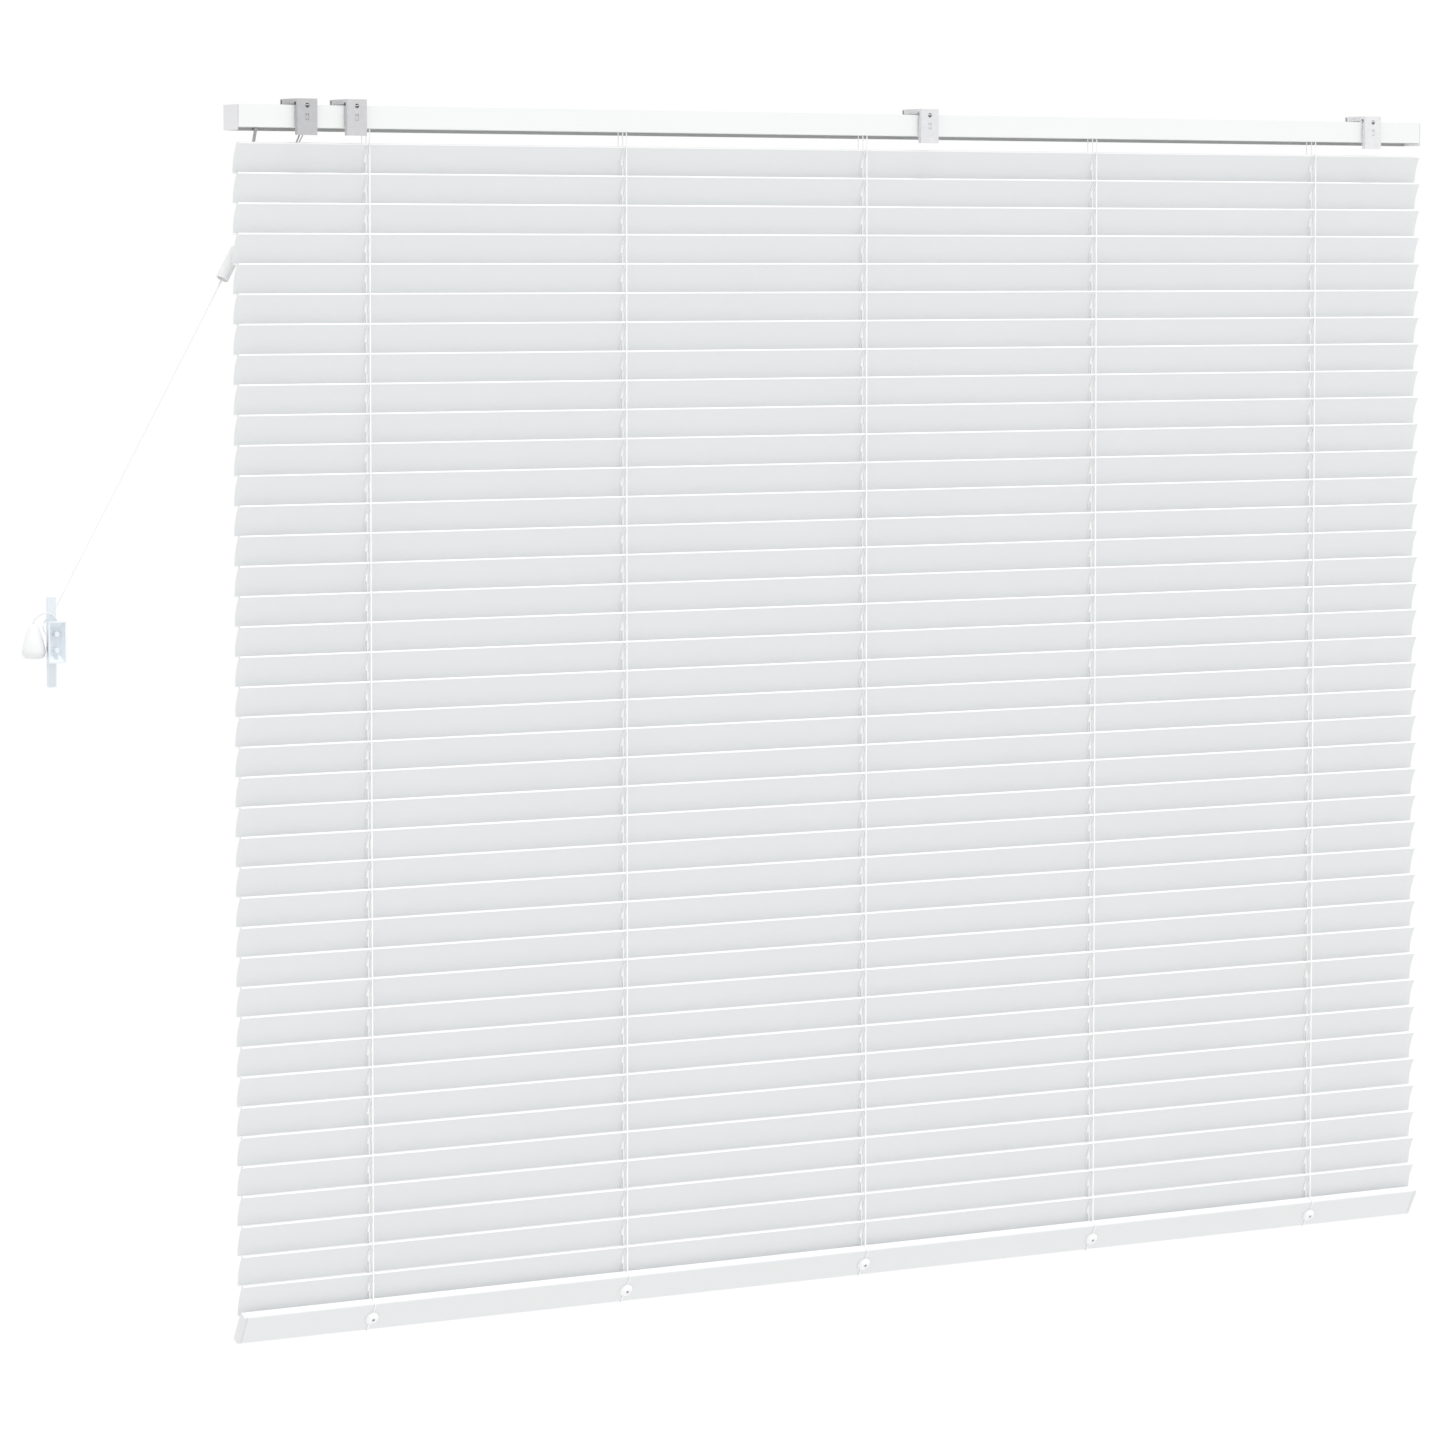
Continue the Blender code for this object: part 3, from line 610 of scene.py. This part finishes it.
def slat_shape():
    """The level slat as vertices and faces: crowned sheet, rolled edges, rout holes."""
    top, wall, low, room = slat_rows()
    loop = [(*p, "top") for p in top] + [(*p, "bead") for p in wall]
    loop += [(*p, "low") for p in low] + [(*p, "bead") for p in room]
    count = len(loop)
    columns = slat_columns()
    verts, faces = [], []
    half = SLAT_LENGTH / 2
    for x, share in columns:
        for across, height, part in loop:
            at_x = x
            from_end = half - abs(x)
            if from_end < SLAT_CORNER:
                past = max(0.0, abs(across) - (SLAT_WIDTH / 2 - SLAT_CORNER))
                pull = SLAT_CORNER - math.sqrt(max(0.0, SLAT_CORNER**2 - past**2))
                at_x = math.copysign(half - from_end - pull * (1 - from_end / SLAT_CORNER), x)
            if share is not None and part != "bead" and 0 < abs(across) < ROUT_HALF_LENGTH * 1.01:
                straight_part = ROUT_HALF_LENGTH - ROUT_HALF_WIDTH
                reach = straight_part + ROUT_HALF_WIDTH * math.sqrt(1 - share**2)
                moved = math.copysign(reach, across)
                height += crown(moved) - crown(across)
                across = moved
            verts.append((at_x, across, height))
    hole_edges = []
    for i in range(len(columns) - 1):
        inside = columns[i][1] is not None and columns[i + 1][1] is not None
        inside = inside and columns[i + 1][0] - columns[i][0] < 2 * ROUT_HALF_WIDTH
        for k in range(count):
            n = (k + 1) % count
            spans = [abs(loop[k][0]), abs(loop[n][0])]
            flat = loop[k][2] == loop[n][2] and loop[k][2] != "bead"
            if inside and flat and max(spans) < ROUT_HALF_LENGTH * 1.01:
                continue
            a, b = i * count + k, i * count + n
            faces.append((a, b, b + count, a + count))
    faces.append(tuple(range(count))[::-1])
    last = (len(columns) - 1) * count
    faces.append(tuple(last + k for k in range(count)))
    # Walls of the rout holes, between the upper and the lower sheet surface
    rows = {"up": [], "down": []}
    for k in range(count):
        if loop[k][2] == "bead" or abs(loop[k][0]) > ROUT_HALF_LENGTH * 1.01:
            continue
        rows["up" if loop[k][2] == "top" else "down"].append(k)
    rows["down"].reverse()
    for start in range(len(columns)):
        if columns[start][1] != -1:
            continue
        ring_up, ring_down = [], []
        for key, ring in (("up", ring_up), ("down", ring_down)):
            first, middle, final = rows[key]
            ring += [(start + c) * count + first for c in range(5)]
            ring.append((start + 4) * count + middle)
            ring += [(start + c) * count + final for c in range(4, -1, -1)]
            ring.append(start * count + middle)
        for k in range(len(ring_up)):
            n = (k + 1) % len(ring_up)
            hole_edges.append((ring_up[k], ring_up[n], ring_down[n], ring_down[k]))
    rolled = [i for i in range(len(verts)) if loop[i % count][2] == "bead"]
    return verts, faces + hole_edges, rolled


SLAT_VERTS, SLAT_FACES, BEAD_VERTS = slat_shape()


def add_slat(number):
    c, s = math.cos(TILT), math.sin(TILT)
    centre = at(0, 0, slat_z(number))
    shape = bmesh.new()
    verts = []
    for x, across, height in SLAT_VERTS:
        spot = Vector((x, c * across - s * height, s * across + c * height))
        verts.append(shape.verts.new(centre + spot))
    for face in SLAT_FACES:
        shape.faces.new([verts[i] for i in face])
    # Middle columns and rows left with no face are dropped
    loose = [v for v in shape.verts if not v.link_faces]
    rolled = set(verts[i] for i in BEAD_VERTS)
    bmesh.ops.delete(shape, geom=loose, context="VERTS")
    # Faces of the rolled edges take the lighter second material, the painted highlight.
    for face in shape.faces:
        if all(vert in rolled for vert in face.verts):
            face.material_index = 1
    made = stored(f"slat_{number:02d}_sheet", shape, SLAT, 42)
    made.data.materials.append(BEAD)
    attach(made, f"slat_{number:02d}")
    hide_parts(f"slat_{number:02d}")


# Rungs: a pair of thin cords under each slat at each ladder, from strand to strand
RUNG_RADIUS = 0.00035
RUNG_SPREAD = 0.0027


def add_rungs(number):
    c, s = math.cos(TILT), math.sin(TILT)
    z = slat_z(number)
    shape = bmesh.new()
    for ladder_x in LADDER_X:
        for way in (-1, 1):
            points = []
            for k in range(9):
                across = (REACH + BEAD_RADIUS * 0.9) * (1 - k / 4)
                height = crown(min(abs(across), REACH)) - SLAT_SHEET / 2 - RUNG_RADIUS - 0.0001
                if k in (0, 8):
                    height = crown(REACH) - BEAD_RADIUS - RUNG_RADIUS - 0.0001
                elif k in (1, 7):
                    height -= 0.0006
                gather = 1 - (abs(across) / REACH) ** 4
                x = ladder_x + way * RUNG_SPREAD * max(0.18, gather)
                points.append(at(x, c * across - s * height, z + s * across + c * height))
            tube_into(shape, points, RUNG_RADIUS, 6)
    made = stored(f"rungs_{number:02d}", shape, CORD, 60)
    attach(made, f"slat_{number:02d}")


for number in range(1, SLAT_COUNT + 1):
    add_slat(number)
    add_rungs(number)


# -------------------------------------------------------- ladders and lift cords
def drop_line(x, y, high, low, step=0.03):
    count = max(2, int((high - low) / step))
    return [at(x, y, high + (low - high) * k / count) for k in range(count + 1)]


RAIL_TOP_LANDING = RAIL_Z + 0.0158
RAIL_ROOM_LANDING = RAIL_Z - 0.0024
WALL_TOP = HEADRAIL_FLOOR_Z - 0.001
ROOM_TOP = WALL_TOP - STRAND_SWING_DROP + 0.0003
DRUM_SIDE_Y = 0.0085
# The room-side stub stands this much further out, clear of the first slat when it is turned over
ROOM_STUB_OUT = 0.0013
for index, x in enumerate(LADDER_X, 1):
    wall = tube(
        f"ladder_{index}_wall",
        drop_line(x, STRAND_Y, WALL_TOP, RAIL_TOP_LANDING),
        STRAND_RADIUS,
        CORD,
    )
    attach(wall, "strand_wall")
    room = tube(
        f"ladder_{index}_room",
        drop_line(x, -STRAND_Y, ROOM_TOP, RAIL_ROOM_LANDING),
        STRAND_RADIUS,
        CORD,
    )
    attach(room, "strand_room")
    if index == 3:
        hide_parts("ladder_strand_wall")
        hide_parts("ladder_strand_room")
    # The part of each strand that leaves the headrail, as far as the strand's travel
    heads = []
    for way, stub_y in ((1, STRAND_Y), (-1, -STRAND_Y - ROOM_STUB_OUT)):
        points = [at(x, way * DRUM_SIDE_Y, ROD_Z + 0.002), at(x, stub_y, HEADRAIL_FLOOR_Z + 0.003)]
        points += drop_line(
            x, stub_y, HEADRAIL_FLOOR_Z - 0.001, WALL_TOP - STRAND_SWING_DROP, 0.01
        )
        heads.append(tube(f"ladder_{index}_head_{len(heads) + 1}", points, 0.00054, CORD))
    lift = tube(
        f"lift_cord_{index}",
        drop_line(x, 0.0, HEADRAIL_FLOOR_Z + 0.001, RAIL_Z, 0.05),
        0.0007,
        CORD,
    )
    for piece in (*heads, lift):
        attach(piece, "frame")


# ------------------------------------------------------------- tilt drums
for index, x in enumerate(LADDER_X, 1):
    drum = lathe(
        f"tilt_drum_{index}",
        (
            (0.0031, -0.0062),
            (0.0074, -0.0062),
            (0.0078, -0.0058),
            (0.0078, -0.0052),
            (0.0066, -0.0044),
            (0.0064, 0.0),
            (0.0066, 0.0044),
            (0.0078, 0.0052),
            (0.0078, 0.0058),
            (0.0074, 0.0062),
            (0.0031, 0.0062),
        ),
        at(x, 0, ROD_Z),
        (1, 0, 0),
        MECHANISM,
        sides=36,
        closed=True,
    )
    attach(drum, "tilt_rod")


# ------------------------------------------------- bottom rail plugs and tails
RAIL_C, RAIL_S = math.cos(RAIL_TILT), math.sin(RAIL_TILT)


def on_rail(x, across, height):
    """A point of the bottom rail: across towards its wall edge, height off its middle."""
    return at(x, RAIL_C * across - RAIL_S * height, RAIL_Z + RAIL_S * across + RAIL_C * height)


FACE = -RAIL_THICKNESS / 2
EDGE = RAIL_WIDTH / 2
FACE_OUT = Vector((0, RAIL_S, -RAIL_C))
# The lower tails stand beside the lift cords, which they pass when the rail is turned over
TAIL_ASIDE = 0.0017
for index, x in enumerate(LADDER_X, 1):
    plug = lathe(
        f"rail_plug_{index}",
        (
            (0.0017, -0.0012),
            (0.0072, -0.0012),
            (0.0077, 0.0004),
            (0.0074, 0.0016),
            (0.0065, 0.0029),
            (0.0050, 0.0040),
            (0.0034, 0.0047),
            (0.0022, 0.0050),
            (0.0017, 0.0044),
        ),
        on_rail(x, -0.001, FACE - 0.0002),
        FACE_OUT,
        PLUG,
        sides=40,
        closed=True,
    )
    plug_hole = lathe(
        f"rail_plug_hole_{index}",
        ((0.0, 0.0), (0.0016, 0.0), (0.0016, 0.0026), (0.0, 0.0026)),
        on_rail(x, -0.001, FACE - 0.0004),
        FACE_OUT,
        DARK,
        sides=20,
    )
    down = FACE - 0.0007
    over = tube(
        f"ladder_{index}_tail_top",
        curve_through(
            [
                on_rail(x, EDGE + 0.0007, FACE + 0.0062),
                on_rail(x, EDGE + 0.0007, FACE + 0.002),
                on_rail(x, EDGE - 0.0002, FACE - 0.0003),
                on_rail(x, EDGE - 0.0022, down),
                on_rail(x, 0.009, down),
                on_rail(x, 0.0038, down),
            ],
            0.0012,
        ),
        STRAND_RADIUS,
        CORD,
    )
    under = tube(
        f"ladder_{index}_tail_low",
        curve_through(
            [
                on_rail(x + TAIL_ASIDE, -0.006, down),
                on_rail(x + TAIL_ASIDE, -0.011, down),
                on_rail(x + TAIL_ASIDE, -EDGE + 0.0022, down),
                on_rail(x + TAIL_ASIDE, -EDGE + 0.0002, FACE - 0.0003),
                on_rail(x + TAIL_ASIDE, -EDGE - 0.0007, FACE + 0.0022),
                on_rail(x + TAIL_ASIDE, -EDGE - 0.0007, -FACE - 0.0022),
                on_rail(x + TAIL_ASIDE, -EDGE + 0.0002, -FACE + 0.0003),
                on_rail(x + TAIL_ASIDE, -EDGE + 0.0022, -down),
                on_rail(x + TAIL_ASIDE, -0.0085, -down),
            ],
            0.0012,
        ),
        STRAND_RADIUS,
        CORD,
    )
    for piece, slot in (
        (plug, "white_plastic"),
        (plug_hole, "white_plastic"),
        (over, "white_cord"),
        (under, "white_cord"),
    ):
        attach(piece, "bottom_rail")


# --------------------------------------------------- finishes of the CAD nodes
def dress(node, material, bevel=0.0, segments=2):
    """Gives a CAD node its finish, and softens its edges."""
    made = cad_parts[node]
    for place in made.material_slots:
        place.material = material
    if not made.material_slots:
        made.data.materials.append(material)
    if bevel:
        edge = made.modifiers.new("edge", "BEVEL")
        edge.width = bevel
        edge.segments = segments
        edge.limit_method = "ANGLE"
        edge.angle_limit = math.radians(40)
        edge.use_clamp_overlap = True
        edge.harden_normals = False


dress("headrail", HEADRAIL, 0.0004)
dress("end_cap_left", CAP, 0.0)
dress("end_cap_right", CAP, 0.0)
for number in range(1, 5):
    dress(f"bracket_{number}", ZINC_WITH_PAINTED_REFLECTION[number - 1], 0.00025)
dress("tilt_rod", ROD_STEEL, 0.0003)
dress("tilter_housing", MECHANISM)
dress("tilter_shaft", SHAFT)
dress("wand", CLEAR)
dress("cord_lock", MECHANISM)
dress("cleat", CLEAT, 0.0004)
dress("bottom_rail", RAIL)
dress("rail_cap_left", CAP)
dress("rail_cap_right", CAP)


# Shallow pressed dimples in the lower openings of the brackets
BRACKET_X = (0.7125, 0.6535, -0.0745, -0.7045)
DIMPLE_Y = 0.0203
DIMPLE_Z = -0.0125
DIMPLE_STRETCH = 1.9
for number, x in enumerate(BRACKET_X, 1):
    dimple = lathe(
        f"bracket_{number}_dimple",
        (
            (0.0, 0.0004),
            (0.0008, 0.00045),
            (0.0013, 0.0006),
            (0.0017, 0.0010),
            (0.0017, 0.0002),
            (0.0, 0.0),
        ),
        at(x, DIMPLE_Y, DIMPLE_Z),
        (0, 1, 0),
        ZINC_WITH_PAINTED_REFLECTION[number - 1],
        sides=32,
    )
    for vert in dimple.data.vertices:
        vert.co.z = (vert.co.z - (DIMPLE_Z - HOLD.z)) * DIMPLE_STRETCH + (DIMPLE_Z - HOLD.z)
    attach(dimple, "frame")


# --------------------------------------------------------- floor and lighting
FLOOR_BELOW = 0.55
floor_data = bpy.data.meshes.new("floor")
floor_z = CAD_LOW.z - FLOOR_BELOW
FLOOR_REACH = 30
floor_data.from_pydata(
    [
        (-FLOOR_REACH, -FLOOR_REACH, floor_z),
        (FLOOR_REACH, -FLOOR_REACH, floor_z),
        (FLOOR_REACH, FLOOR_REACH, floor_z),
        (-FLOOR_REACH, FLOOR_REACH, floor_z),
    ],
    [],
    [(0, 1, 2, 3)],
)
floor = bpy.data.objects.new("floor", floor_data)
bpy.context.scene.collection.objects.link(floor)
floor_data.materials.append(
    finish_material("pale_floor", (0.7, 0.7, 0.7), 0.9, variation=0.002, grain_depth=0.0)
)

scene = bpy.context.scene
scene.view_settings.view_transform = "Standard"
world = bpy.data.worlds.new("studio")
scene.world = world
world.use_nodes = True
world.node_tree.nodes["Background"].inputs["Color"].default_value = (1, 1, 1, 1)
world.node_tree.nodes["Background"].inputs["Strength"].default_value = 1.0


# A soft light from overhead, leaning to the wall side: it catches the rolled edges and the
# bottom rail's upper edge, and passes the undersides of the closed slats
SUN_LEAN = math.radians(14)
sun_data = bpy.data.lights.new("overhead_softbox", "SUN")
sun_data.energy = 1.5
sun_data.angle = math.radians(16)
sun = bpy.data.objects.new("overhead_softbox", sun_data)
bpy.context.scene.collection.objects.link(sun)
sun.rotation_mode = "QUATERNION"
shining = Vector((0, -math.sin(SUN_LEAN), -math.cos(SUN_LEAN)))
sun.rotation_quaternion = shining.to_track_quat("-Z", "Y")
